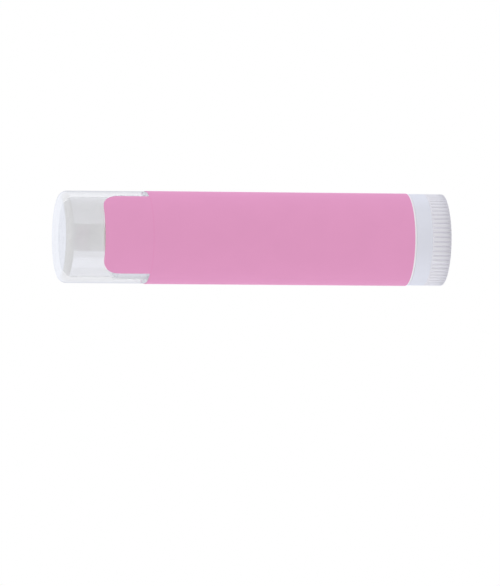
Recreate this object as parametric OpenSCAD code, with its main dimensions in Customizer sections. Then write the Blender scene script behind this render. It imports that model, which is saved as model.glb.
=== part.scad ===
// Lip balm stick: a twist-up tube with a dial and screw, a carrier cup, the balm,
// a pull-off cap, and a film label whose tear-off seal tab laps over the cap.
// The stick stands on its dial. +Z runs up its axis, the origin is the centre of
// the dial's foot, and the seal tab faces -Y.

/* [Whole stick] */
// Outer diameter of the tube, the dial and the cap
body_d = 16; // [15:0.1:22]

/* [Dial] */
// Height of the dial, grooved rim and smooth collar together
dial_h = 6.2; // [5:0.1:12]
// Wall of the dial's skirt
dial_wall = 1.1; // [0.8:0.05:1.4]
// Thickness of the dial's end plate
dial_plate = 1.6; // [1:0.1:2.5]
// Number of grooves around the rim
knurl_count = 60; // [12:1:72]
// Height of the grooved rim
knurl_h = 3.35; // [1:0.05:4.5]
// Width of a groove at the surface
knurl_w = 0.32; // [0.15:0.01:0.5]
// Depth of a groove
knurl_depth = 0.3; // [0.1:0.01:0.5]
// Diameter of the shallow recess in the foot
foot_recess_d = 9; // [4:0.1:11]
// Depth of the recess in the foot
foot_recess = 0.4; // [0.1:0.05:0.6]

/* [Hub and screw] */
// Diameter of the hub that turns in the tube's floor
hub_d = 5.6; // [5.2:0.1:6.4]
// How far the snap bead stands out from the hub
snap_out = 0.35; // [0.1:0.05:0.5]
// Height of the snap bead
snap_h = 0.9; // [0.5:0.1:1.5]
// Core diameter of the screw
core_d = 3.4; // [2.6:0.1:3.6]
// Height of the screw's thread above its core
thread_h = 0.6; // [0.3:0.05:0.7]
// Rise of the carrier in one turn of the dial
lead = 3.5; // [2.6:0.1:5]
// Width of the thread's crest along the axis
crest_w = 0.6; // [0.4:0.05:0.8]
// Run of each flank of the thread along the axis
flank_w = 0.3; // [0.1:0.05:0.4]

/* [Tube] */
// Height of the full-width part of the tube
barrel_h = 46.65; // [40:0.05:70]
// Diameter of the neck that the cap pushes onto
neck_d = 14.3; // [13.6:0.05:14.6]
// Height of the neck
neck_h = 5.4; // [4:0.05:10]
// Bore of the tube
bore_d = 12; // [11.4:0.1:12.4]
// Thickness of the tube's floor
floor_t = 1.2; // [0.8:0.1:2]
// Depth of the spigot that centres the dial's skirt
spigot_h = 1.8; // [0.8:0.1:2.5]
// Wall of the spigot
spigot_wall = 0.8; // [0.5:0.05:1.2]
// Number of ribs along the bore
rib_count = 4; // [2:1:6]
// Width of a rib
rib_w = 0.7; // [0.4:0.05:1]
// How far a rib stands into the bore
rib_h = 0.45; // [0.3:0.05:0.6]
// How far the ribs stop below the neck's rim
rib_stop = 1.5; // [0.5:0.1:4]

/* [Carrier cup] */
// Height of the cup
cup_h = 8.6; // [7.2:0.1:11]
// Wall of the cup
cup_wall = 0.9; // [0.8:0.05:1.1]
// Thickness of the cup's floor
cup_floor = 0.9; // [0.6:0.1:1.5]
// Height of the threaded boss
nut_h = 6; // [5.6:0.1:7]
// Wall of the threaded boss
nut_wall = 0.75; // [0.5:0.05:0.9]
// Number of fins that anchor the balm
fin_count = 4; // [2:1:6]
// Thickness of a fin
fin_t = 0.6; // [0.4:0.05:0.9]
// Height of the fins above the cup's floor
fin_h = 4.2; // [2:0.1:5]
// How far the cup climbs the screw
rise = 42; // [20:0.5:43]

/* [Balm] */
// How far the balm stands above the neck's rim
balm_proud = 0.85; // [0:0.05:2]
// Rounding of the balm's top edge
balm_round = 0.8; // [0.2:0.05:2]

/* [Cap] */
// Height of the cap
cap_h = 15.15; // [12:0.05:20]
// Thickness of the cap's crown
crown_t = 1.3; // [0.8:0.05:2.5]
// Rounding of the crown's rim
crown_round = 1.3; // [0.3:0.05:2]
// Diameter of the hollow above the neck
hollow_d = 13.8; // [12:0.1:14]
// Rounding of the hollow's end
hollow_round = 1.2; // [0.3:0.05:2]
// Chamfer inside the cap's mouth
mouth_chamfer = 0.2; // [0.05:0.05:0.4]

/* [Label and seal tab] */
// Thickness of the film
film_t = 0.09; // [0.05:0.01:0.2]
// Bare strip of tube left at each end of the label
label_margin = 0.04; // [0.02:0.01:3]
// Width of the seam where the label's ends meet at the back
seam_w = 0.2; // [0.1:0.05:1]
// Height of the seal tab on the cap
tab_h = 8.4; // [6:0.1:10]
// Width of the seal tab, as an angle around the cap
tab_arc = 113; // [80:1:150]
// Radius of the seal tab's corners
tab_corner = 3; // [1:0.1:3.5]
// How far the tab's middle is turned from -Y towards +X
tab_turn = 5.2; // [-30:0.1:30]

/* [Fits] */
// Gap along the axis between the dial and the tube, and the tube and the cap
end_gap = 0.1; // [0.05:0.01:0.3]
// Radial clearance of the hub in the tube's floor
hub_clear = 0.08; // [0.03:0.01:0.1]
// Radial clearance between the spigot and the dial's skirt
spigot_clear = 0.2; // [0.1:0.01:0.4]
// Radial clearance of the cup in the tube's bore
cup_clear = 0.15; // [0.08:0.01:0.3]
// Radial clearance of the balm in the tube's bore
balm_clear = 0.1; // [0.08:0.01:0.3]
// Clearance between a rib and its notch, on every side
rib_clear = 0.12; // [0.08:0.01:0.25]
// Clearance between the screw and what surrounds it
thread_clear = 0.15; // [0.12:0.01:0.25]
// Radial clearance of the cap on the neck
cap_clear = 0.1; // [0.05:0.01:0.15]

/* [Hidden] */

$fn = 96;
// Straight steps in one turn of a thread
turn_steps = 16;
// How far a cut or a sunk root reaches past the face that it crosses
over = 0.2;

body_r = body_d / 2;
hub_r = hub_d / 2;
core_r = core_d / 2;
crest_r = core_r + thread_h;
bore_r = bore_d / 2;
neck_r = neck_d / 2;

// Heights up the axis, from the foot to the crown
tube_z = dial_h + end_gap;
floor_top_z = tube_z + floor_t;
shoulder_z = tube_z + barrel_h;
neck_top_z = shoulder_z + neck_h;
cap_z = shoulder_z + end_gap;
cap_top_z = cap_z + cap_h;
snap_z = floor_top_z + end_gap;
hub_top_z = snap_z + snap_h;
cup_z = hub_top_z + 3 * end_gap;
cup_top_z = cup_z + cup_h;
screw_top_z = cup_z + rise + nut_h;
balm_top_z = neck_top_z + balm_proud;
rib_top_z = neck_top_z - rib_stop;

// The screw's thread: left-handed, so that turning the dial to the right, seen
// from the foot, lifts the balm
root_w = crest_w + 2 * flank_w;
thread_z = hub_top_z + end_gap;
screw_turns = floor((screw_top_z - thread_z - root_w) / lead);
nut_bore_r = crest_r + thread_clear;

// A point on a left-handed helix: radius, turns from the start, height
function helix_point(r, turns, z) = [r * cos(360 * turns), -r * sin(360 * turns), z];

// Turns a list of corners, which run anticlockwise as seen from outside, into a
// fan of triangles about the first one
function fan(corners) = [for (i = [1 : len(corners) - 2]) [corners[0], corners[i + 1], corners[i]]];

// The screw as one closed surface: a core with flat ends and one helical ridge.
// Each step of the helix has four corners, from the ridge's lower root over its
// crest to its upper root. Rings at both ends close the core.
module screw(z0, z1) {
    n = turn_steps;
    steps = screw_turns * n;
    rise_at = [0, flank_w, flank_w + crest_w, root_w];
    radius_at = [core_r, crest_r, crest_r, core_r];
    ridge = [for (k = [0 : steps], j = [0 : 3])
        helix_point(radius_at[j], k / n, thread_z + lead * k / n + rise_at[j])];
    ring0 = [for (i = [0 : n - 1]) helix_point(core_r, i / n, z0)];
    ring1 = [for (i = [0 : n - 1]) helix_point(core_r, i / n, z1)];
    // Numbers of the corners in the joined list of points
    function at(k, j) = 4 * k + j;
    function low(i) = 4 * (steps + 1) + i % n;
    function high(i) = low(0) + n + i % n;
    sides = [for (k = [0 : steps - 1], j = [0 : 2])
        each fan([at(k, j), at(k, j + 1), at(k + 1, j + 1), at(k + 1, j)])];
    lands = [for (k = [0 : steps - n - 1])
        each fan([at(k, 3), at(k + n, 0), at(k + n + 1, 0), at(k + 1, 3)])];
    lower = [for (k = [0 : n - 2]) each fan([low(k), at(k, 0), at(k + 1, 0), low(k + 1)])];
    lower_seam = fan([at(n - 1, 0), at(n, 0), at(0, 3), at(0, 0), low(0), low(n - 1)]);
    last = steps - n;
    upper = [for (i = [1 : n - 1])
        each fan([at(last + i, 3), high(i), high(i + 1), at(last + i + 1, 3)])];
    upper_seam = fan([at(last + 1, 3), at(last, 3), at(steps, 0), at(steps, 3), high(0), high(1)]);
    ends = concat(
        fan([at(0, 0), at(0, 3), at(0, 2), at(0, 1)]),
        fan([at(steps, 0), at(steps, 1), at(steps, 2), at(steps, 3)]),
        fan([for (i = [0 : n - 1]) low(i)]),
        fan([for (i = [n - 1 : -1 : 0]) high(i)]));
    polyhedron(
        points = concat(ridge, ring0, ring1),
        faces = concat(sides, lands, lower, lower_seam, upper, upper_seam, ends));
}

// The helical rib inside the carrier's boss. It fills the screw's groove but for
// the clearance, and its root is sunk into the boss.
module nut_rib() {
    n = turn_steps;
    tip_r = core_r + thread_clear;
    sunk_r = nut_bore_r + over;
    slope = flank_w / thread_h;
    tip_half = (lead - root_w) / 2 - thread_clear;
    sunk_half = tip_half + slope * (sunk_r - tip_r);
    middle_z = thread_z + (lead + root_w) / 2;
    first = ceil((cup_z + over + sunk_half - middle_z) / lead * n);
    last = floor((cup_z + nut_h - over - sunk_half - middle_z) / lead * n);
    steps = last - first;
    offset_at = [-sunk_half, -tip_half, tip_half, sunk_half];
    radius_at = [sunk_r, tip_r, tip_r, sunk_r];
    points = [for (k = [first : last], j = [0 : 3])
        helix_point(radius_at[j], k / n, middle_z + lead * k / n + offset_at[j])];
    function at(k, j) = 4 * k + j % 4;
    sides = [for (k = [0 : steps - 1], j = [0 : 3])
        each fan([at(k, j), at(k + 1, j), at(k + 1, j + 1), at(k, j + 1)])];
    ends = concat(
        fan([at(0, 0), at(0, 1), at(0, 2), at(0, 3)]),
        fan([at(steps, 3), at(steps, 2), at(steps, 1), at(steps, 0)]));
    polyhedron(points = points, faces = concat(sides, ends));
}

// A solid cylinder about the axis, between two heights
module cylinder_between(r, z0, z1) {
    translate([0, 0, z0])
        cylinder(r = r, h = z1 - z0);
}

// A cylinder whose upper rim is rounded
module rounded_top(r, h, round) {
    rotate_extrude() {
        square([r, h - round]);
        square([r - round, h]);
        translate([r - round, h - round])
            intersection() {
                circle(round);
                square(round);
            }
    }
}

// A ring about the axis, from one radius to another
module ring(r_in, r_out, z0, z1) {
    translate([0, 0, z0])
        difference() {
            cylinder(r = r_out, h = z1 - z0);
            translate([0, 0, -over])
                cylinder(r = r_in, h = z1 - z0 + 2 * over);
        }
}

// The bars that run up the tube's bore, made wider and deeper by the clearance
// where they are notches
module rib_bars(z0, z1, clear) {
    for (i = [0 : rib_count - 1])
        rotate(360 * i / rib_count + 180 / rib_count)
            translate([bore_r - rib_h - clear, -rib_w / 2 - clear, z0])
                cube([rib_h + clear + over, rib_w + 2 * clear, z1 - z0]);
}

// The fins between the carrier's boss and its wall
module fin_bars(z0, z1, r_in, r_out) {
    for (i = [0 : fin_count - 1])
        rotate(360 * i / fin_count)
            translate([r_in, -fin_t / 2, z0])
                cube([r_out - r_in, fin_t, z1 - z0]);
}

// Part of a film shell around the stick, centred on -Y and turned with the tab
module film_sector(half_angle, z0, z1) {
    rotate(tab_turn - 90 - half_angle)
        translate([0, 0, z0])
            rotate_extrude(angle = 2 * half_angle)
                translate([body_r, 0])
                    square([film_t, z1 - z0]);
}

// The dial with its hub, its snap bead and the screw, one moulding
module dial_spindle() {
    skirt_r = body_r - dial_wall;
    color("ghostwhite")
        union() {
            difference() {
                cylinder(r = body_r, h = dial_h);
                translate([0, 0, dial_plate])
                    ring(hub_r, skirt_r, 0, dial_h);
                translate([0, 0, -over])
                    cylinder(d = foot_recess_d, h = foot_recess + over);
                for (i = [0 : knurl_count - 1])
                    rotate(360 * i / knurl_count)
                        translate([0, 0, -over])
                            linear_extrude(knurl_h + over)
                                knurl_groove();
            }
            cylinder_between(hub_r, dial_plate - over, hub_top_z);
            translate([0, 0, snap_z])
                cylinder(r1 = hub_r + snap_out, r2 = hub_r, h = snap_h);
            screw(hub_top_z - over, screw_top_z);
        }
}

// The V section of a groove, open past the rim
module knurl_groove() {
    spread = knurl_w / 2 * (knurl_depth + over) / knurl_depth;
    polygon([
        [body_r - knurl_depth, 0],
        [body_r + over, -spread],
        [body_r + over, spread],
    ]);
}

// The barrel with its neck, floor, spigot and ribs, one moulding
module tube() {
    spigot_r = body_r - dial_wall - spigot_clear;
    color("white")
        union() {
            difference() {
                union() {
                    cylinder_between(body_r, tube_z, shoulder_z);
                    cylinder_between(neck_r, shoulder_z - over, neck_top_z);
                }
                cylinder_between(bore_r, floor_top_z, neck_top_z + over);
                cylinder_between(hub_r + hub_clear, tube_z - over, floor_top_z + over);
            }
            ring(spigot_r - spigot_wall, spigot_r, tube_z - spigot_h, tube_z + over);
            rib_bars(floor_top_z - over, rib_top_z, 0);
        }
}

// The cup that climbs the screw
module carrier_cup() {
    cup_r = bore_r - cup_clear;
    floor_z = cup_z + cup_floor;
    color("whitesmoke")
        union() {
            difference() {
                union() {
                    difference() {
                        cylinder_between(cup_r, cup_z, cup_top_z);
                        cylinder_between(cup_r - cup_wall, floor_z, cup_top_z + over);
                    }
                    cylinder_between(nut_bore_r + nut_wall, floor_z - over, cup_z + nut_h);
                    fin_bars(floor_z - over, floor_z + fin_h, nut_bore_r + over, cup_r - cup_wall + over);
                }
                cylinder_between(nut_bore_r, cup_z - over, cup_z + nut_h + over);
                rib_bars(cup_z - over, cup_top_z + over, rib_clear);
            }
            nut_rib();
        }
}

// The balm, cast into the cup and around the screw
module balm_stick() {
    balm_r = bore_r - balm_clear;
    floor_z = cup_z + cup_floor;
    inner_r = bore_r - cup_clear - cup_wall;
    color("ivory")
        difference() {
            union() {
                cylinder_between(inner_r, floor_z, cup_top_z + over);
                translate([0, 0, cup_top_z])
                    rounded_top(balm_r, balm_top_z - cup_top_z, balm_round);
            }
            cylinder_between(nut_bore_r + nut_wall, floor_z - over, cup_z + nut_h);
            cylinder_between(nut_bore_r, cup_z, screw_top_z + 2 * thread_clear);
            fin_bars(floor_z - over, floor_z + fin_h, nut_bore_r, bore_r);
            rib_bars(floor_z, balm_top_z + over, rib_clear);
        }
}

// The pull-off cap
module cap() {
    hollow_z = cap_top_z - crown_t;
    color("lavender", 0.5)
        difference() {
            translate([0, 0, cap_z])
                rounded_top(body_r, cap_h, crown_round);
            translate([0, 0, cap_z - over])
                rounded_top(hollow_d / 2, hollow_z - cap_z + over, hollow_round);
            cylinder_between(neck_r + cap_clear, cap_z - over, neck_top_z + end_gap);
            translate([0, 0, cap_z - over])
                cylinder(
                    r1 = neck_r + cap_clear + mouth_chamfer + over,
                    r2 = neck_r + cap_clear,
                    h = mouth_chamfer + over);
        }
}

// The label around the tube, a film whose ends meet in a seam at the back
module wrap_label() {
    seam_half = seam_w / 2 / body_r * 180 / PI;
    color("plum")
        film_sector(180 - seam_half, tube_z + label_margin, shoulder_z - label_margin);
}

// The label's tongue on the cap, with its two upper corners rounded
module seal_tab() {
    z0 = cap_z + label_margin;
    z1 = cap_z + tab_h;
    half = tab_arc / 2;
    corner_angle = asin(tab_corner / (body_r + film_t));
    color("plum")
        difference() {
            film_sector(half, z0, z1);
            for (side = [-1, 1])
                rotate(tab_turn - 90 + side * (half - corner_angle))
                    translate([body_r / 2, 0, z1 - tab_corner])
                        corner_cut(side);
        }
}

// What a rounded corner leaves of its square, as a block along the radius
module corner_cut(side) {
    span = tab_corner + over;
    difference() {
        translate([0, side > 0 ? 0 : -span, 0])
            cube([body_r, span, span]);
        translate([-over, 0, 0])
            rotate([0, 90, 0])
                cylinder(r = tab_corner, h = body_r + 2 * over);
    }
}

dial_spindle();
tube();
carrier_cup();
balm_stick();
cap();
wrap_label();
seal_tab();
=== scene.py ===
"""The looks of a lip balm stick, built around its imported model.

The stick stands on its dial at the origin, +Z runs up its axis, and the seal tab
faces -Y. Turned pieces are outlines carried round the axis as grids of points.
All lengths are in metres, written as counts of MM.
"""

import logging
import math
from collections.abc import Callable
from dataclasses import dataclass, replace
from enum import Enum
from typing import Any

import bmesh
import bpy
import numpy as np
from mathutils import Matrix, Vector


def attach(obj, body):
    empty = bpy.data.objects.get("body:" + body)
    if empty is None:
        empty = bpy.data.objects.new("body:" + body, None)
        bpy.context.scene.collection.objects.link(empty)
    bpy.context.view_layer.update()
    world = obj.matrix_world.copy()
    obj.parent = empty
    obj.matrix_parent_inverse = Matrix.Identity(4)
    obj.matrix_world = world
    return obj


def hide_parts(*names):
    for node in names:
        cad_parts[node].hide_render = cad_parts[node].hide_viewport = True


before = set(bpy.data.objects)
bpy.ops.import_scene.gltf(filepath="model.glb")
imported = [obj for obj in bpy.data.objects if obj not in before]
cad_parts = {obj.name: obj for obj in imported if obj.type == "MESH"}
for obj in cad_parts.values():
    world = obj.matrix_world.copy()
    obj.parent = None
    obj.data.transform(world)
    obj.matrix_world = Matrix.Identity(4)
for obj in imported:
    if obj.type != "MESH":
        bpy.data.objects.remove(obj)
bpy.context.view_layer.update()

LOG = logging.getLogger("lip_balm_stick")

MM = 0.001
TURN = 2 * math.pi
FRONT = -TURN / 4
BACK = TURN / 4

RIM_TOP = 3.35 * MM
FILM_MARGINS = (0, 0.12 * MM, 0.3 * MM, 0.6 * MM)
EDGE_DISTANCE = "edge_distance"
SAME_POINT = 0.0002 * MM
SAME_RADIUS = 0.001 * MM
SHARP_EDGE = math.radians(35)

Colour = tuple[float, float, float]
Array = np.ndarray
Piece = bpy.types.Object


class Body(Enum):
    """The bodies of the frame that a piece can ride on."""

    BARREL = "barrel"
    DIAL = "dial"
    CARRIER = "carrier"
    CAP = "cap"


class Slot(Enum):
    """The record's material slots."""

    DIAL = "dial_plastic"
    TUBE = "tube_plastic"
    CARRIER = "carrier_plastic"
    BALM = "balm_wax"
    CAP = "cap_plastic"
    LABEL = "label_film"
    TAB = "tab_film"


@dataclass(frozen=True)
class Corner:
    """A corner of a turned piece's outline: its radius, its height and its rounding."""

    radius: float
    height: float
    rounding: float = 0.0


def turned_outline(*corners: Corner, closed: bool = False, steps: int = 8) -> Array:
    """Rounds the corners of an outline.

    A rounded corner becomes an arc that touches both of its sides: the arc's centre
    lies on the bisector, one rounding away from each side. A point just before and
    one just after the arc keep the flat sides flat when the normals are smoothed.

    Args:
        corners: the outline, anticlockwise round the material as seen with the
            radius to the right and the height up.
        closed: whether the last corner joins the first.
        steps: straight steps in one arc.

    Returns:
        The outline's points, one (radius, height) pair a row.
    """
    hold = 0.03 * MM
    places = [np.array([c.radius, c.height]) for c in corners]
    points = []
    for n, corner in enumerate(corners):
        here = places[n]
        if corner.rounding == 0:
            points.append(here)
            continue
        before, after = places[n - 1], places[(n + 1) % len(corners)]
        back = (before - here) / np.linalg.norm(before - here)
        ahead = (after - here) / np.linalg.norm(after - here)
        half = math.acos(float(np.clip(back @ ahead, -1, 1))) / 2
        reach = corner.rounding / math.tan(half)
        middle = (back + ahead) / np.linalg.norm(back + ahead)
        centre = here + middle * corner.rounding / math.sin(half)
        start, end = here + back * reach - centre, here + ahead * reach - centre
        sweep = math.pi - 2 * half
        share = np.linspace(0, 1, steps + 1)[:, None]
        arc = (start * np.sin((1 - share) * sweep) + end * np.sin(share * sweep)) / math.sin(sweep)
        points.append(here + back * (reach + hold))
        points.extend(centre + arc)
        points.append(here + ahead * (reach + hold))
    if closed:
        points.append(points[0])
    return np.array(points)


def smooth(value: Array) -> Array:
    """Returns 0 below 0, 1 above 1, and 3 v squared minus 2 v cubed in between."""
    v = np.clip(value, 0, 1)
    return v * v * (3 - 2 * v)


def off_centre(angle: Array, first: float, count: int) -> Array:
    """Returns how far each angle is from the nearest of count evenly spaced directions."""
    pitch = TURN / count
    return np.abs((angle - first + pitch / 2) % pitch - pitch / 2)


def strip_sides(first: float, count: int, half: float) -> list[float]:
    """Returns the angles of both sides of count evenly spaced strips, each two halves wide."""
    pitch = TURN / count
    return [first + pitch * n + side * half for n in range(count) for side in (-1, 1)]


def columns_round(count: int, edges: list[float]) -> Array:
    """Works out the angles of a grid's columns, with a close pair of them at each edge.

    A pair stands one slit before and one slit after its edge. Evenly spaced columns
    that are within three slits of one of a pair are left out.

    Args:
        count: how many evenly spaced columns.
        edges: the angles at which something starts or ends.

    Returns:
        The sorted angles from 0 to a full turn, both included.
    """
    slit = TURN / 3600
    even = np.linspace(0, TURN, count + 1)
    pairs = np.array([(e + side * slit) % TURN for e in edges for side in (-1, 1)])
    gap = np.abs(even[:, None] - pairs).min(axis=1)
    kept = even[(gap > 3 * slit) | (even == 0) | (even == TURN)]
    return np.sort(np.concatenate([kept, pairs]))


def turned_points(radius: Array | float, height: Array, angle: Array) -> Array:
    """Returns the grid of points x = radius cos angle, y = radius sin angle, z = height."""
    radius, height, angle = np.broadcast_arrays(radius, height, angle)
    return np.stack([radius * np.cos(angle), radius * np.sin(angle), height], axis=-1)


class Shell:
    """A mesh, gathered from grids of points that meet edge to edge."""

    def __init__(self) -> None:
        """Starts with no points."""
        self._points: list[Array] = []
        self._faces: list[list[int]] = []
        self._count = 0

    def grid(self, points: Array) -> Array:
        """Adds a grid. Its faces look to the side from which rows go up as columns go right.

        Args:
            points: an array of rows by columns by 3.

        Returns:
            The numbers of its points, rows by columns.
        """
        rows, columns, _ = points.shape
        index = self._count + np.arange(rows * columns).reshape(rows, columns)
        self._count += rows * columns
        self._points.append(points.reshape(-1, 3))
        corners = (index[:-1, :-1], index[:-1, 1:], index[1:, 1:], index[1:, :-1])
        self._faces.extend(np.stack(corners, axis=-1).reshape(-1, 4).tolist())
        return index

    def turn(self, outline: Array, angle: Array) -> Array:
        """Adds an outline carried round the axis, and returns the numbers of its points."""
        return self.grid(turned_points(outline[:, :1], outline[:, 1:], angle))

    def join(self, lower: Array, upper: Array) -> None:
        """Joins two rows of a flat face, one with several columns for each of the other's.

        Args:
            lower: the numbers of the first row's points, once round.
            upper: the numbers of the second row's points, once round.
        """
        segments = min(len(lower), len(upper)) - 1
        low_step = (len(lower) - 1) // segments
        high_step = (len(upper) - 1) // segments
        for n in range(segments):
            there = lower[n * low_step : (n + 1) * low_step + 1]
            back = upper[n * high_step : (n + 1) * high_step + 1][::-1]
            self._faces.append([*there.tolist(), *back.tolist()])

    def build(self, name: str) -> Piece:
        """Merges the points that coincide, which closes seams and poles, and makes the object.

        Args:
            name: the object's name.

        Returns:
            The new object.
        """
        mesh = bpy.data.meshes.new(name)
        mesh.from_pydata(np.concatenate(self._points).tolist(), [], self._faces)
        net = bmesh.new()
        net.from_mesh(mesh)
        bmesh.ops.remove_doubles(net, verts=net.verts, dist=SAME_POINT)
        net.to_mesh(mesh)
        net.free()
        mesh.shade_smooth()
        mesh.set_sharp_from_angle(angle=SHARP_EDGE)
        made = bpy.data.objects.new(name, mesh)
        bpy.context.scene.collection.objects.link(made)
        LOG.info("%s: %d points, %d faces", name, len(mesh.vertices), len(mesh.polygons))
        return made


def film_piece(name: str, angle: Array, height: Array, inner: Array | float, film: float) -> Piece:
    """Wraps a film round the stick: an outer face, an inner face and four edges between them.

    Args:
        name: the object's name.
        angle: the angle of each column, or of each point, rows by columns.
        height: the height of each row, as one column.
        inner: the radius of the film's inner face, the same or by columns.
        film: how much greater the radius of its outer face is.

    Returns:
        The film.
    """
    outside = turned_points(inner + film, height, angle)
    inside = turned_points(inner, height, angle)
    shell = Shell()
    shell.grid(np.concatenate([outside, inside[:, ::-1], outside[:, :1]], axis=1))
    shell.grid(np.stack([outside[-1], inside[-1]]))
    shell.grid(np.stack([inside[0], outside[0]]))
    return shell.build(name)


def edge_steps(length: float, count: int) -> Array:
    """Divides a length, with close steps at both ends and even ones between them.

    Args:
        length: what is divided.
        count: how many places the even stretch has.

    Returns:
        The places, from 0 to length.
    """
    near = np.array(FILM_MARGINS)
    middle = np.linspace(near[-1], length - near[-1], count)
    return np.concatenate([near[:-1], middle, length - near[-2::-1]])


def set_edge_distance(piece: Piece, distance: Array) -> None:
    """Stores each vertex's distance to the film's cut edge, for the film's finish."""
    layer = piece.data.attributes.new(EDGE_DISTANCE, "FLOAT", "POINT")
    layer.data.foreach_set("value", distance.astype(np.float32))


def vertices(piece: Piece) -> Array:
    """Reads a piece's vertices.

    Args:
        piece: the object.

    Returns:
        Their places, one a row.
    """
    places = np.empty(len(piece.data.vertices) * 3, np.float32)
    piece.data.vertices.foreach_get("co", places)
    return places.reshape(-1, 3).astype(float)


def math_operator(
    operation: str, swapped: bool = False
) -> Callable[["Value", "Value | float"], "Value"]:
    """Makes an operator that adds one Math node.

    Args:
        operation: the node's operation.
        swapped: whether the value comes second, as in 1 - value.

    Returns:
        The operator, a method of Value.
    """

    def operate(value: "Value", other: "Value | float") -> "Value":
        """Returns the operation's result."""
        first, second = (other, value) if swapped else (value, other)
        return value.graph.node("Math", {0: first, 1: second}, operation=operation)

    return operate


class Value:
    """A node's output, used in sums as a number is: each operator adds one Math node."""

    def __init__(self, graph: "Graph", socket: bpy.types.NodeSocket | None) -> None:
        """Keeps the graph that new nodes go into, and the socket."""
        self.graph = graph
        self.socket = socket

    __add__ = __radd__ = math_operator("ADD")
    __sub__, __rsub__ = math_operator("SUBTRACT"), math_operator("SUBTRACT", swapped=True)
    __mul__ = __rmul__ = math_operator("MULTIPLY")
    __truediv__, __rtruediv__ = math_operator("DIVIDE"), math_operator("DIVIDE", swapped=True)


@dataclass(frozen=True)
class Spots:
    """The sizes of soft noise: its spots' width, its finer layers, and their length in widths."""

    width: float
    detail: float = 2.0
    length: float = 1.0


def shaded(hue: Colour, share: float) -> Colour:
    """Returns a colour with every channel scaled by share, but none above 1."""
    return tuple(min(channel * share, 1.0) for channel in hue)


def around(middle: float, noise: Value, spread: float) -> Value:
    """Returns middle, plus spread times what the noise is above 0.5."""
    return middle + (noise - 0.5) * spread


class Graph:
    """A node tree that is being written."""

    def __init__(self, tree: bpy.types.NodeTree) -> None:
        """Empties the tree."""
        tree.nodes.clear()
        self.tree = tree

    def node(
        self, kind: str, inputs: dict[int | str, Any], output: int | str = 0, **settings: Any
    ) -> Value:
        """Adds a node.

        Args:
            kind: the node's type, without the word ShaderNode.
            inputs: a number, colour or Value for each socket, by its number or name.
            output: which of its outputs to return.
            settings: its properties, and for a ramp its stops as (place, colour) pairs.

        Returns:
            That output, or no socket for a node that has none.
        """
        made = self.tree.nodes.new("ShaderNode" + kind)
        for name, value in settings.items():
            if name == "stops":
                self._set_stops(made.color_ramp, value)
            else:
                setattr(made, name, value)
        for key, value in inputs.items():
            if isinstance(value, Value):
                self.tree.links.new(value.socket, made.inputs[key])
            elif isinstance(value, tuple) and made.inputs[key].type == "RGBA":
                made.inputs[key].default_value = (*value, 1.0)
            else:
                made.inputs[key].default_value = value
        return Value(self, made.outputs[output] if made.outputs else None)

    @staticmethod
    def _set_stops(ramp: bpy.types.ColorRamp, stops: list[tuple[float, Colour]]) -> None:
        """Replaces a ramp's stops.

        Args:
            ramp: the ramp.
            stops: the place and the colour of each new one, in order.
        """
        while len(ramp.elements) > 1:
            ramp.elements.remove(ramp.elements[-1])
        ramp.elements[0].position = stops[0][0]
        ramp.elements[0].color = (*stops[0][1], 1.0)
        for place, colour in stops[1:]:
            ramp.elements.new(place).color = (*colour, 1.0)

    def object_place(self) -> Value:
        """Returns the shaded point's place in the frame, in metres."""
        return self.node("TexCoord", {}, "Object")

    def noise(self, spots: Spots) -> Value:
        """Adds soft noise about 0.5, with its spots stretched along the axis.

        Args:
            spots: the noise's sizes.

        Returns:
            The noise's value, mostly from 0.3 to 0.7.
        """
        across, along = 1 / spots.width, 1 / (spots.width * spots.length)
        inputs = {"Vector": self.object_place(), "Scale": (across, across, along)}
        place = self.node("Mapping", inputs)
        inputs = {"Vector": place, "Scale": 1.0, "Detail": spots.detail}
        return self.node("TexNoise", inputs, "Fac")

    def mix(self, share: Value, first: Colour | Value, second: Colour | Value) -> Value:
        """Returns a blend of two colours: the first at share 0, the second at 1."""
        return self.node("Mix", {0: share, 6: first, 7: second}, 2, data_type="RGBA")

    def between(self, value: Value, low: float, high: float) -> Value:
        """Returns 0 where value is low, 1 where it is high, and a smooth rise in between."""
        inputs = {"Value": value, 1: low, 2: high}
        return self.node("MapRange", inputs, interpolation_type="SMOOTHSTEP")

    def mottled(
        self, noise: Value, hue: Colour, darker: float, lighter: float, reach: float = 0.2
    ) -> Value:
        """Spots a colour: darker where the noise is low, and lighter where it is high.

        Args:
            noise: noise about 0.5.
            hue: the colour.
            darker: the share by which the darkest spots are darker.
            lighter: the share by which the lightest spots are lighter.
            reach: how far from 0.5 the noise gives these.

        Returns:
            The spotted colour.
        """
        share = self.between(noise, 0.5 - reach, 0.5 + reach)
        return self.mix(share, shaded(hue, 1 - darker), shaded(hue, 1 + lighter))

    def bump(self, height: Value, depth: float) -> Value:
        """Returns the normal of a surface that rises by depth metres where height is 1."""
        return self.node("Bump", {"Distance": depth, "Height": height})


def empty_material(name: str) -> tuple[bpy.types.Material, Graph]:
    """Makes a material that has no nodes yet.

    Args:
        name: the material's name.

    Returns:
        The material, and the graph of its node tree.
    """
    made = bpy.data.materials.new(name)
    made.use_nodes = True
    return made, Graph(made.node_tree)


@dataclass(frozen=True)
class Finish:
    """What all finishes share: a material with one Principled shader."""

    name: str
    colour: Colour
    roughness: float
    refraction: float

    def sockets(self, graph: Graph) -> dict[str, Any]:
        """Returns the shader's socket values, which each finish works out."""
        raise NotImplementedError

    def material(self) -> bpy.types.Material:
        """Makes the material.

        Returns:
            The new material.
        """
        made, graph = empty_material(self.name)
        shader = graph.node("BsdfPrincipled", {**self.sockets(graph), "IOR": self.refraction})
        graph.node("OutputMaterial", {"Surface": shader})
        return made


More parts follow.
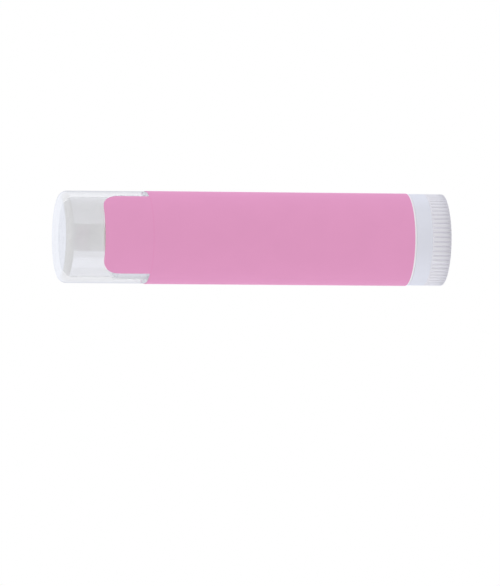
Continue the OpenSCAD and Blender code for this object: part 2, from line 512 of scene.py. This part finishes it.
@dataclass(frozen=True)
class MouldedPlastic(Finish):
    """Opaque moulded plastic: faint clouds in its colour and a fine grain from the mould.

    Where a rim colour is given, the piece has that colour below rim_top. On the dial it is painted
    light: a lighter tone of the same plastic on the grooved rim, which offsets the shade in the
    grooves.
    """

    rim_painted_light_colour: Colour | None = None
    rim_top: float = RIM_TOP
    rim_fade: float = 0.1 * MM
    clouds: Spots = Spots(3 * MM, length=5.0)
    cloud_share: float = 0.012
    grain: Spots = Spots(0.22 * MM, 3.0)
    grain_depth: float = 0.0016 * MM
    patches: Spots = Spots(1.4 * MM)
    patch_spread: float = 0.08
    specular: float = 0.25

    def sockets(self, graph: Graph) -> dict[str, Any]:
        """Stretches the clouds along the axis, as the melt flows, and leaves the grain even.

        Args:
            graph: the material's graph.

        Returns:
            The shader's socket values.
        """
        cloud, share = graph.noise(self.clouds), self.cloud_share
        colour = graph.mottled(cloud, self.colour, share, share)
        # The rim colour is painted light: the grooved rim is lightened against its own shade, though
        # it is the same plastic as the collar.
        if self.rim_painted_light_colour is not None:
            height = graph.node("SeparateXYZ", {0: graph.object_place()}, 2)
            above = graph.between(height, self.rim_top, self.rim_top + self.rim_fade)
            colour = graph.mix(above, self.rim_painted_light_colour, colour)
        return {
            "Base Color": colour,
            "Roughness": around(self.roughness, graph.noise(self.patches), self.patch_spread),
            "Normal": graph.bump(graph.noise(self.grain), self.grain_depth),
            "Specular IOR Level": self.specular,
        }


@dataclass(frozen=True)
class ClearPlastic(Finish):
    """Clear moulded plastic that is faintly milky, under a polished skin.

    The body bends light only a little, so that the thick crown doesn't go dark, and the
    skin's coat gives the plastic's own reflections.
    """

    clearness: float = 0.95
    waves: Spots = Spots(2.6 * MM, 1.0, 4.0)
    wave_depth: float = 0.003 * MM
    haze: Spots = Spots(1.8 * MM)
    haze_share: float = 0.01
    haze_reach: float = 0.15
    haze_spread: float = 0.03
    skin_roughness: float = 0.04
    skin_refraction: float = 1.49

    def sockets(self, graph: Graph) -> dict[str, Any]:
        """Lets light pass, and bends the highlights with long low waves along the axis.

        Args:
            graph: the material's graph.

        Returns:
            The shader's socket values.
        """
        haze, share = graph.noise(self.haze), self.haze_share
        return {
            "Base Color": graph.mottled(haze, self.colour, share, share, self.haze_reach),
            "Roughness": around(self.roughness, haze, self.haze_spread),
            "Normal": graph.bump(graph.noise(self.waves), self.wave_depth),
            "Transmission Weight": self.clearness,
            "Coat Weight": 1.0,
            "Coat Roughness": self.skin_roughness,
            "Coat IOR": self.skin_refraction,
        }


@dataclass(frozen=True)
class PrintedFilm(Finish):
    """Satin film of one flat colour: deeper at its cut edges, with a faint ripple of the wrap."""

    edge_colour: Colour
    edge_width: float = 0.3 * MM
    clouds: Spots = Spots(6 * MM)
    cloud_share: float = 0.008
    fibres: Spots = Spots(0.12 * MM)
    fibre_share: float = 0.12
    fibre_spread: float = 0.1
    ripples: Spots = Spots(4 * MM, 1.0, 2.5)
    ripple_depth: float = 0.01 * MM
    specular: float = 0.04

    def sockets(self, graph: Graph) -> dict[str, Any]:
        """Fades the edge's colour with the stored distance to the cut.

        Args:
            graph: the material's graph.

        Returns:
            The shader's socket values.
        """
        distance = graph.node("Attribute", {}, "Fac", attribute_name=EDGE_DISTANCE)
        inside = graph.between(distance, 0.0, self.edge_width)
        cloud, share = graph.noise(self.clouds), self.cloud_share
        flat = graph.mottled(cloud, self.colour, share, share)
        fibre, ripple = graph.noise(self.fibres), graph.noise(self.ripples)
        return {
            "Base Color": graph.mix(inside, self.edge_colour, flat),
            "Roughness": around(self.roughness, fibre, self.fibre_spread),
            "Normal": graph.bump(fibre * self.fibre_share + ripple, self.ripple_depth),
            "Specular IOR Level": self.specular,
        }


@dataclass(frozen=True)
class BalmWax(Finish):
    """Poured balm: a soft sheen, a few fine pores and a slight mottle."""

    mottle: Spots = Spots(0.9 * MM, 3.0)
    darker: float = 0.05
    lighter: float = 0.03
    swells: Spots = Spots(1.6 * MM)
    swell_depth: float = 0.05 * MM
    swell_spread: float = 0.2
    pore_pitch: float = 0.7 * MM
    pore_floor: float = 0.04
    pore_edge: float = 0.16
    pore_share: float = 0.35
    scatter: float = 0.25
    scatter_reach: Colour = (1.2 * MM, 0.9 * MM, 0.5 * MM)

    def sockets(self, graph: Graph) -> dict[str, Any]:
        """Sets pores, the middles of a fine cell pattern, over swells left as the melt sets.

        Args:
            graph: the material's graph.

        Returns:
            The shader's socket values.
        """
        swell, mottle = graph.noise(self.swells), graph.noise(self.mottle)
        pattern = {"Vector": graph.object_place(), "Scale": 1 / self.pore_pitch}
        cells = graph.node("TexVoronoi", pattern, "Distance", feature="F1")
        pore = 1 - graph.between(cells, self.pore_floor, self.pore_edge)
        return {
            "Base Color": graph.mottled(mottle, self.colour, self.darker, self.lighter),
            "Roughness": around(self.roughness, swell, self.swell_spread),
            "Normal": graph.bump(swell - pore * self.pore_share, self.swell_depth),
            "Subsurface Weight": self.scatter,
            "Subsurface Radius": self.scatter_reach,
            "Subsurface Scale": 1.0,
        }


# The dial's rim colour is painted light: lighter than its plastic, to offset the shade in the
# grooves.
WHITE_DIAL = MouldedPlastic(
    "dial_polypropylene", (0.825, 0.835, 0.915), 0.42, 1.49, rim_painted_light_colour=(0.87, 0.855, 0.905)
)
WHITE_TUBE = MouldedPlastic("tube_polypropylene", (0.95, 0.96, 0.98), 0.40, 1.49)
WHITE_CARRIER = MouldedPlastic("carrier_polypropylene", (0.80, 0.81, 0.84), 0.48, 1.49)
CLEAR_CAP = ClearPlastic("cap_clear_plastic", (0.845, 0.845, 0.855), 0.1, 1.015)
LABEL_PINK = PrintedFilm(
    "label_pink_film", (0.898, 0.384, 0.642), 0.55, 1.45, edge_colour=(0.898, 0.358, 0.62)
)
TAB_PINK = replace(LABEL_PINK, name="tab_pink_film")
IVORY_BALM = BalmWax("balm_ivory_wax", (0.86, 0.82, 0.70), 0.42, 1.44)


def finish_piece(piece: Piece, body: Body, node: str, finish: Finish) -> None:
    """Dresses a piece and puts it in place of its CAD node.

    Args:
        piece: the finished object.
        body: the body that it moves with.
        node: the CAD node that it stands for.
        finish: what its surface is.
    """
    piece.data.materials.append(finish.material())
    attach(piece, body.value)
    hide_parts(node)


@dataclass
class BarrelAssembly:
    """The tube with its neck and spigot, and the label wrapped round it."""

    bottom: float = 6.225 * MM
    bottom_rounding: float = 0.03 * MM
    shoulder: float = 52.95 * MM
    shoulder_rounding: float = 0.08 * MM
    neck_top: float = 58.35 * MM
    neck_rounding: float = 0.25 * MM
    outer: float = 8.0 * MM
    neck: float = 7.15 * MM
    bore: float = 6.0 * MM
    floor_top: float = 7.5 * MM
    hub_hole: float = 2.88 * MM
    spigot_outer: float = 6.7 * MM
    spigot_inner: float = 5.9 * MM
    spigot_bottom: float = 4.5 * MM
    spigot_rounding: float = 0.2 * MM
    rib_count: int = 4
    rib_width: float = 0.7 * MM
    rib_height: float = 0.45 * MM
    rib_top: float = 56.85 * MM
    rib_slope: float = 0.3 * MM
    tube_columns: int = 192
    film: float = 0.087 * MM
    glue: float = 0.003 * MM
    label_low: float = 6.56 * MM
    label_high: float = 53.0 * MM
    label_rows: int = 24
    label_columns: int = 180
    lap: float = 2.5 * MM
    lap_columns: int = 7
    ramp: float = 0.5 * MM
    ramp_columns: int = 6

    def tube(self) -> Piece:
        """Makes the tube as one ring: up its outside and neck, down its bore and round its floor.

        Inside, the radius is the bore's, less the rib's height between the two sides of
        each rib. A rib's top slopes back to the bore.

        Returns:
            The tube.
        """
        outline = turned_outline(
            Corner(self.spigot_outer, self.spigot_bottom, self.spigot_rounding),
            Corner(self.spigot_outer, self.bottom),
            Corner(self.outer, self.bottom, self.bottom_rounding),
            Corner(self.outer, self.shoulder, self.shoulder_rounding),
            Corner(self.neck, self.shoulder),
            Corner(self.neck, self.neck_top, self.neck_rounding),
            Corner(self.bore, self.neck_top, self.neck_rounding),
            Corner(self.bore, self.rib_top + self.rib_slope),
            Corner(self.bore, self.rib_top),
            Corner(self.bore, self.floor_top),
            Corner(self.hub_hole, self.floor_top),
            Corner(self.hub_hole, self.bottom),
            Corner(self.spigot_inner, self.bottom),
            Corner(self.spigot_inner, self.spigot_bottom, self.spigot_rounding),
            closed=True,
        )
        first = TURN / self.rib_count / 2
        half = self.rib_width / 2 / (self.bore - self.rib_height / 2)
        angle = columns_round(self.tube_columns, strip_sides(first, self.rib_count, half))
        radius, height = outline[:, :1], outline[:, 1:]
        on_rib = off_centre(angle, first, self.rib_count) < half
        in_bore = (np.abs(radius - self.bore) < SAME_RADIUS) & (height <= self.rib_top)
        radius = np.where(on_rib & in_bore, self.bore - self.rib_height, radius)
        shell = Shell()
        shell.grid(turned_points(radius, height, angle))
        return shell.build("tube_shell")

    def label(self) -> Piece:
        """Makes a film once round the tube, whose last stretch climbs onto its first.

        The radius rises by one film's thickness over a short ramp that ends where the
        film meets its own start, at the back.

        Returns:
            The label.
        """
        rows = self.label_low + edge_steps(self.label_high - self.label_low, self.label_rows)
        ramp, lap = self.ramp / self.outer, self.lap / self.outer
        body = np.linspace(0, TURN - ramp, self.label_columns + 1)
        climb = np.linspace(TURN - ramp, TURN, self.ramp_columns + 1)[1:]
        tail = np.linspace(TURN, TURN + lap, self.lap_columns + 1)[1:]
        along = np.concatenate([body, climb, tail])
        lift = (self.film + 2 * self.glue) * smooth((along - TURN + ramp) / ramp)
        inner = self.outer + self.glue + lift
        angle = BACK - lap / 2 + along
        made = film_piece("wrap_label_film", angle, rows[:, None], inner, self.film)
        height = vertices(made)[:, 2]
        set_edge_distance(made, np.minimum(height - self.label_low, self.label_high - height))
        return made

    def build(self) -> None:
        """Makes and dresses both pieces."""
        finish_piece(self.tube(), Body.BARREL, "tube", WHITE_TUBE)
        finish_piece(self.label(), Body.BARREL, "wrap_label", LABEL_PINK)


@dataclass
class DialAssembly:
    """The dial with its grooved rim, smooth collar, hub, snap bead and screw, one moulding.

    Each pair in groove_section is a distance from a groove's middle, in halves of its
    width, and the share of the groove's depth there. Each of fade_rows is a row's
    distance below the grooves' top, in counts of groove_fade. Each pair in flank_section
    is a share of a flank's width, and the share of the thread's height there.
    """

    outer: float = 8.0 * MM
    top: float = 6.2 * MM
    foot_rounding: float = 0.12 * MM
    collar_rounding: float = 0.03 * MM
    skirt: float = 6.9 * MM
    skirt_rounding: float = 0.12 * MM
    plate: float = 1.6 * MM
    plate_rounding: float = 0.3 * MM
    recess: float = 4.5 * MM
    recess_depth: float = 0.4 * MM
    recess_rounding: float = 0.1 * MM
    gate: float = 0.7 * MM
    gate_slope: float = 0.1 * MM
    gate_height: float = 0.12 * MM
    gate_rounding: float = 0.05 * MM
    groove_count: int = 60
    groove_width: float = 0.36 * MM
    groove_depth: float = 0.28 * MM
    groove_section: tuple[tuple[float, float], ...] = ((0, 1), (0.5, 0.52), (1, 0.06), (1.35, 0))
    groove_turn: float = math.radians(3.2)
    groove_top: float = RIM_TOP
    groove_fade: float = 0.16 * MM
    fade_rows: tuple[float, ...] = (1.5, 1, 0.6, 0.3, 0)
    line_width: float = 0.12 * MM
    line_depth: float = 0.05 * MM
    seam: float = 7.3 * MM
    seam_width: float = 0.15 * MM
    hub: float = 2.8 * MM
    hub_top: float = 8.5 * MM
    hub_rounding: float = 0.1 * MM
    bead: float = 3.15 * MM
    bead_bottom: float = 7.6 * MM
    bead_rounding: float = 0.08 * MM
    core: float = 1.7 * MM
    screw_top: float = 56.8 * MM
    screw_rounding: float = 0.3 * MM
    lead: float = 3.5 * MM
    thread_height: float = 0.6 * MM
    thread_fade: float = 0.3
    crest: float = 0.6 * MM
    flank: float = 0.3 * MM
    flank_section: tuple[tuple[float, float], ...] = ((0, 0), (0.25, 0.06), (0.75, 0.94), (1.25, 1))
    root_rows: int = 4

    def _rim(self, shell: Shell) -> tuple[Array, Array]:
        """Adds the outer wall, from the foot over the grooves and the collar to its top.

        The radius is the smaller of the outline's and the grooves': across each pitch the
        groove is a V with eased shoulders, and it fades out below a fine line round the dial.

        Args:
            shell: what the wall is added to.

        Returns:
            The numbers of the points of its first and its last row.
        """
        line = self.groove_top + self.line_width
        fading = [self.groove_top - self.groove_fade * row for row in self.fade_rows]
        outline = turned_outline(
            Corner(self.seam, 0),
            Corner(self.outer, 0, self.foot_rounding),
            Corner(self.outer, self.groove_top - 2 * self.groove_fade),
            *(Corner(self.outer, height) for height in fading),
            Corner(self.outer - self.line_depth, self.groove_top + self.line_width / 2),
            Corner(self.outer, line),
            Corner(self.outer, line + self.groove_fade),
            Corner(self.outer, line + 2 * self.groove_fade),
            Corner(self.outer, self.top, self.collar_rounding),
            Corner(self.seam, self.top),
        )
        pitch = TURN / self.groove_count
        places, depths = np.array(self.groove_section).T
        places = places * (self.groove_width / 2 / (self.outer * pitch))
        columns = np.concatenate([places, [0.5], 1 - places[:0:-1]])
        angle = (np.arange(self.groove_count)[:, None] + columns).reshape(-1) * pitch
        angle = np.append(angle, TURN)
        section = np.interp(off_centre(angle, 0, self.groove_count) / pitch, places, depths)
        radius, height = outline[:, :1], outline[:, 1:]
        run_out = self.fade_rows[0] * self.groove_fade
        fade = 1 - smooth((height - self.groove_top + run_out) / run_out)
        radius = np.minimum(radius, self.outer - self.groove_depth * section * fade)
        index = shell.grid(turned_points(radius, height, angle + self.groove_turn))
        return index[0], index[-1]

    def _screw(self, shell: Shell, angle: Array) -> None:
        """Adds the screw, a grid whose rows climb with the thread, so that its edges stay crisp.

        A row's height is its own start plus the lead times the turn, clockwise for a
        left-handed thread. It is held between the two ends of the thread, where the
        rows meet, and the ridge fades in and out there.

        Args:
            shell: what the screw is added to.
            angle: the angles of the hub's columns.
        """
        low, high = self.hub_top, self.screw_top - self.screw_rounding
        width = 2 * self.flank + self.crest
        climb, climbed = np.array(self.flank_section).T * [[self.flank], [self.thread_height]]
        root = np.linspace(width, self.lead, self.root_rows + 2)[1:-1]
        marks = np.concatenate([climb, width - climb[::-1], root])
        rise = np.concatenate([climbed, climbed[::-1], 0 * root])
        turns = math.ceil((high - low) / self.lead) + 1
        start = (np.arange(turns)[:, None] * self.lead + marks).reshape(-1, 1)
        height = np.clip(low + start - self.lead * angle / TURN, low, high)
        run = self.thread_fade * self.lead
        fade = smooth((height - low) / run) * smooth((high - height) / run)
        radius = self.core + np.tile(rise, turns)[:, None] * fade
        shell.grid(turned_points(radius, height, angle))

    def build(self) -> None:
        """Makes the moulding, with one column of its inner side for each groove."""
        shell = Shell()
        first, last = self._rim(shell)
        angle = np.linspace(0, TURN, self.groove_count + 1) + self.groove_turn
        inset = self.seam - self.seam_width
        gate_top = self.recess_depth - self.gate_height
        foot = turned_outline(
            Corner(0, gate_top),
            Corner(self.gate, gate_top, self.gate_rounding),
            Corner(self.gate + self.gate_slope, self.recess_depth, self.gate_rounding),
            Corner(self.recess, self.recess_depth, self.recess_rounding),
            Corner(self.recess, 0, self.recess_rounding),
            Corner(inset, 0),
        )
        inside = turned_outline(
            Corner(inset, self.top),
            Corner(self.skirt, self.top, self.skirt_rounding),
            Corner(self.skirt, self.plate, self.plate_rounding),
            Corner(self.hub, self.plate, self.plate_rounding),
            Corner(self.hub, self.bead_bottom),
            Corner(self.bead, self.bead_bottom, self.bead_rounding),
            Corner(self.hub, self.hub_top, self.hub_rounding),
            Corner(self.core, self.hub_top),
        )
        tip = turned_outline(
            Corner(self.core, self.screw_top - self.screw_rounding),
            Corner(self.core - self.screw_rounding, self.screw_top),
            Corner(0, self.screw_top),
        )
        under, over = shell.turn(foot, angle), shell.turn(inside, angle)
        shell.join(under[-1], first)
        shell.join(last, over[0])
        self._screw(shell, angle)
        shell.turn(tip, angle)
        piece = shell.build("dial_moulding")
        finish_piece(piece, Body.DIAL, "dial_spindle", WHITE_DIAL)


@dataclass
class CarrierAssembly:
    """The balm, poured round the screw and into the cup that climbs it."""

    bottom: float = 9.7 * MM
    cup_top: float = 17.4 * MM
    in_cup: float = 4.95 * MM
    outer: float = 5.9 * MM
    top: float = 59.2 * MM
    rounding: float = 0.8 * MM
    dip: float = 0.28 * MM
    dip_edge: float = 0.98
    dip_rows: int = 14
    screw_bore: float = 2.45 * MM
    bore_top: float = 57.1 * MM
    boss: float = 3.2 * MM
    boss_top: float = 14.8 * MM
    notch_count: int = 4
    notch_width: float = 0.94 * MM
    notch_floor: float = 5.43 * MM
    slot_width: float = 0.62 * MM
    slot_top: float = 13.92 * MM
    columns: int = 160

    def balm(self) -> Piece:
        """Makes the balm: from the bore's end over its bottom and side to the poured top.

        The top's height is its rim's, less dip times the square of one minus the
        squared share of the radius. Four notches take the tube's ribs, where the radius
        is no more than the notch's floor. Four slots take the cup's fins, where the
        height is no less than the slot's top.

        Returns:
            The balm.
        """
        below = turned_outline(
            Corner(0, self.bore_top),
            Corner(self.screw_bore, self.bore_top),
            Corner(self.screw_bore, self.boss_top),
            Corner(self.boss, self.boss_top),
            Corner(self.boss, self.bottom),
            Corner(self.in_cup, self.bottom),
            Corner(self.in_cup, self.cup_top),
            Corner(self.outer, self.cup_top),
            Corner(self.outer, self.top, self.rounding),
            Corner(0, self.top),
        )
        flat = self.outer - self.rounding
        share = np.linspace(self.dip_edge, 0, self.dip_rows)
        poured = np.stack([share * flat, self.top - self.dip * (1 - share**2) ** 2], axis=1)
        outline = np.concatenate([below[:-1], poured])
        first = TURN / self.notch_count / 2
        notch = self.notch_width / 2 / self.notch_floor
        slot = self.slot_width / 2 / self.in_cup
        edges = strip_sides(first, self.notch_count, notch) + strip_sides(0, self.notch_count, slot)
        angle = columns_round(self.columns, edges)
        radius, height = outline[:, :1], outline[:, 1:]
        in_notch = off_centre(angle, first, self.notch_count) < notch
        in_slot = off_centre(angle, 0, self.notch_count) < slot
        radius = np.where(in_notch, np.minimum(radius, self.notch_floor), radius)
        height = np.where(in_slot, np.maximum(height, self.slot_top), height)
        shell = Shell()
        shell.grid(turned_points(radius, height, angle))
        return shell.build("balm_cast")

    def build(self) -> None:
        """Makes the balm, and dresses the cup that the frame already holds."""
        finish_piece(self.balm(), Body.CARRIER, "balm_stick", IVORY_BALM)
        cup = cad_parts["carrier_cup"]
        cup.data.materials.clear()
        cup.data.materials.append(WHITE_CARRIER.material())
        LOG.info("carrier_cup: the frame's own node, dressed")


@dataclass
class CapAssembly:
    """The clear pull-off cap and the label's seal tab on it."""

    bottom: float = 52.965 * MM
    top: float = 68.2 * MM
    outer: float = 8.0 * MM
    rim_rounding: float = 1.3 * MM
    bore: float = 7.25 * MM
    bore_top: float = 58.45 * MM
    bore_rounding: float = 0.12 * MM
    hollow: float = 6.9 * MM
    hollow_top: float = 66.9 * MM
    hollow_rounding: float = 1.2 * MM
    mouth_chamfer: float = 0.08 * MM
    mouth_rounding: float = 0.05 * MM
    arc_steps: int = 12
    columns: int = 256
    film: float = 0.08 * MM
    glue: float = 0.008 * MM
    tab_low: float = 53.003 * MM
    tab_high: float = 61.45 * MM
    tab_half: float = math.radians(56.5)
    tab_turn: float = math.radians(5.2)
    tab_corner: float = 3.0 * MM
    tab_columns: int = 61
    side_rows: int = 7
    corner_rows: int = 16

    def shell(self) -> Piece:
        """Makes the wall: from the hollow's ceiling down inside, round the mouth and over the crown.

        Returns:
            The cap.
        """
        outline = turned_outline(
            Corner(0, self.hollow_top),
            Corner(self.hollow, self.hollow_top, self.hollow_rounding),
            Corner(self.hollow, self.bore_top, self.bore_rounding),
            Corner(self.bore, self.bore_top, self.bore_rounding),
            Corner(self.bore, self.bottom + self.mouth_chamfer),
            Corner(self.bore + self.mouth_chamfer, self.bottom),
            Corner(self.outer, self.bottom, self.mouth_rounding),
            Corner(self.outer, self.top, self.rim_rounding),
            Corner(0, self.top),
            steps=self.arc_steps,
        )
        shell = Shell()
        shell.turn(outline, np.linspace(0, TURN, self.columns + 1))
        return shell.build("cap_shell")

    def _half_width(self, height: Array) -> Array:
        """Works out the tab's half width along the surface: full, then less by the corner's arc.

        Args:
            height: the heights at which it is wanted.

        Returns:
            The half widths.
        """
        full = self.tab_half * self.outer
        rise = np.clip(height - self.tab_high + self.tab_corner, 0, self.tab_corner)
        return full - self.tab_corner + np.sqrt(self.tab_corner**2 - rise**2)

    def tab(self) -> Piece:
        """Makes a film whose rows narrow along the arcs of its two upper corners.

        The distance to the cut edge is, in a corner, its radius less the distance to its
        arc's centre, and elsewhere the lesser of the distances to the side and the top.

        Returns:
            The tab.
        """
        straight = self.tab_high - self.tab_corner
        near = self.tab_low + np.array(FILM_MARGINS)
        sides = np.linspace(near[-1], straight, self.side_rows + 1)[1:]
        turn = np.linspace(0, TURN / 4, self.corner_rows + 1)[1:]
        rows = np.concatenate([near, sides, straight + self.tab_corner * np.sin(turn)])
        half = self._half_width(rows)[:, None]
        full = half[0, 0]
        across = edge_steps(2 * full, self.tab_columns) / full - 1
        angle = FRONT + self.tab_turn + across * half / self.outer
        inner = self.outer + self.glue
        made = film_piece("seal_tab_film", angle, rows[:, None], inner, self.film)
        x, y, up = vertices(made).T
        side = np.abs(np.arctan2(y, x) - FRONT - self.tab_turn) * self.outer
        past_side = side - full + self.tab_corner
        past_top = up - straight
        from_centre = np.hypot(past_side, past_top)
        in_corner = (past_side > 0) & (past_top > 0)
        to_edge = np.minimum(full - side, self.tab_high - up)
        set_edge_distance(made, np.where(in_corner, self.tab_corner - from_centre, to_edge))
        return made

    def build(self) -> None:
        """Makes and dresses both pieces. The cap lets light fall on what is in it."""
        clear = self.shell()
        clear.visible_diffuse = False
        finish_piece(clear, Body.CAP, "cap", CLEAR_CAP)
        finish_piece(self.tab(), Body.CAP, "seal_tab", TAB_PINK)


@dataclass
class Studio:
    """A plain pale floor, soft light from all round, and the camera of the photograph.

    The window is the bright back of the room. It begins and is full where a direction's
    y, with a little of its x, is window_start and window_full, and it is full below the
    height window_fade and gone above window_top. Each pair in panels is an angle in
    degrees, from the camera's side towards +X, and the panels' brightness there.
    """

    floor_half: float = 3.0
    floor_drop: float = 0.02 * MM
    mat_inner: float = 8.1 * MM
    mat_outer: float = 8.9 * MM
    mat_columns: int = 64
    mat_grey: float = 0.55
    sky_light: float = 0.62
    sky_colour: Colour = (0.97, 0.985, 1.0)
    sky_through: Colour = (0.96, 0.97, 0.98)
    window_colour: Colour = (1.03, 1.08, 1.22)
    window_lean: float = 0.14
    window_start: float = -0.2
    window_full: float = 0.6
    window_fade: float = 0.4
    window_top: float = 0.8
    horizon_fade: float = 0.04
    panel_colour: Colour = (0.925, 0.97, 1.13)
    panel_scale: float = 6.0
    panels: tuple[tuple[float, float], ...] = (
        (-180, 0.6), (-146, 0.9), (-120, 1.15), (-112, 2.6), (-84, 3.9), (-82, 5.2), (-54, 5.2),
        (-52, 3.8), (-37, 3.8), (-35, 1.4), (-18, 0.8), (5, 0.4), (32, 0.4), (34, 2.0), (80, 1.6),
        (112, 1.8), (122, 1.65), (146, 0.85), (168, 0.55), (180, 0.5),
    )
    distance: float = 1.3
    elevation: float = math.radians(11.8)
    roll: float = math.radians(0.41)
    lens_mm: float = 457.6
    sensor_mm: float = 36.0
    near: float = 0.05
    far: float = 8.0
    aim_height: float = 34.3 * MM
    aim_side: float = 9.53 * MM

    def floor(self) -> None:
        """Lays a large level plane that glows white, so that the stick casts no shadow."""
        edges = [-self.floor_half, self.floor_half]
        x, y = np.meshgrid(edges, edges)
        shell = Shell()
        shell.grid(np.stack([x, y, np.full(x.shape, -self.floor_drop)], axis=-1))
        plane = shell.build("floor")
        made, graph = empty_material("floor_white")
        above = graph.node("Emission", {"Color": (1.0, 1.0, 1.0)})
        below = graph.node("BsdfTransparent", {})
        under = graph.node("NewGeometry", {}, "Backfacing")
        both = graph.node("MixShader", {0: under, 1: above, 2: below})
        graph.node("OutputMaterial", {"Surface": both})
        plane.data.materials.append(made)
        plane.visible_glossy = False

    def mat(self) -> None:
        """Lays a narrow grey ring, unseen by the camera, whose shade darkens the foot's edge."""
        outline = np.array([[self.mat_outer, 0.0], [self.mat_inner, 0.0]])
        shell = Shell()
        shell.turn(outline, np.linspace(0, TURN, self.mat_columns + 1))
        ring = shell.build("floor_mat")
        made, graph = empty_material("mat_grey")
        shader = graph.node("BsdfDiffuse", {"Color": (self.mat_grey,) * 3})
        graph.node("OutputMaterial", {"Surface": shader})
        ring.data.materials.append(made)
        ring.visible_camera = False
        ring.visible_glossy = False

    def light(self) -> None:
        """Lights the room, which the camera itself sees as plain white.

        Above the horizon it is soft white, with the window at the back. Below it stand
        panels that only reflections see, because the floor hides them from all else. Their
        brightness is a ramp over the direction's angle round the axis, from the back past
        the camera to the back again. What is seen through the cap is one flat colour.
        """
        world = bpy.data.worlds.new("studio")
        bpy.context.scene.world = world
        world.use_nodes = True
        graph = Graph(world.node_tree)
        direction = graph.node("TexCoord", {}, "Generated")
        x, y, z = (graph.node("SeparateXYZ", {0: direction}, axis) for axis in range(3))
        turn = graph.node("Math", {0: x, 1: 0 - y}, operation="ARCTAN2") / TURN + 0.5
        stops = [
            (0.5 + degrees / 360, shaded(self.panel_colour, level / self.panel_scale))
            for degrees, level in self.panels
        ]
        ramp = graph.node("ValToRGB", {0: turn}, stops=stops)
        bank = graph.node("VectorMath", {0: ramp, "Scale": self.panel_scale}, operation="SCALE")
        window = graph.between(y + x * self.window_lean, self.window_start, self.window_full)
        window = window * (1 - graph.between(z, self.window_fade, self.window_top))
        sky = graph.mix(window, shaded(self.sky_colour, self.sky_light), self.window_colour)
        room = graph.mix(graph.between(z, -self.horizon_fade, 0.0), bank, sky)
        bent = graph.node("LightPath", {}, "Is Transmission Ray")
        room = graph.mix(bent, room, self.sky_through)
        seen = graph.node("LightPath", {}, "Is Camera Ray")
        whole = graph.mix(seen, room, (1.0, 1.0, 1.0))
        shader = graph.node("Background", {"Color": whole})
        graph.node("OutputWorld", {"Surface": shader})

    def camera(self) -> None:
        """Looks down on the stick from the front, rolled so that the cap is to the left.

        The stick's axis point at aim_height lies aim_side above the middle of the picture.
        """
        back = Vector((0, -math.cos(self.elevation), math.sin(self.elevation)))
        side = Vector((1, 0, 0))
        level = side.cross(back)
        up = side * math.cos(self.roll) - level * math.sin(self.roll)
        right = level * math.cos(self.roll) + side * math.sin(self.roll)
        data = bpy.data.cameras.new("photo_camera")
        data.lens = self.lens_mm
        data.sensor_width = self.sensor_mm
        data.clip_start, data.clip_end = self.near, self.far
        made = bpy.data.objects.new("photo_camera", data)
        bpy.context.scene.collection.objects.link(made)
        target = Vector((0, 0, self.aim_height)) - up * self.aim_side
        turn = Matrix((right, up, back)).transposed()
        made.matrix_world = Matrix.Translation(target + back * self.distance) @ turn.to_4x4()
        bpy.context.scene.camera = made

    def build(self) -> None:
        """Sets the floor, the light and the camera, and plain colours without a film look."""
        self.floor()
        self.mat()
        self.light()
        self.camera()
        settings = bpy.context.scene.view_settings
        settings.view_transform = "Standard"
        settings.look = "None"


def main() -> None:
    """Builds the stick from the dial up, then the studio."""
    logging.basicConfig(level=logging.INFO, format="%(name)s: %(message)s")
    for assembly in (DialAssembly(), BarrelAssembly(), CarrierAssembly(), CapAssembly()):
        assembly.build()
    Studio().build()


if __name__ == "__main__":
    main()
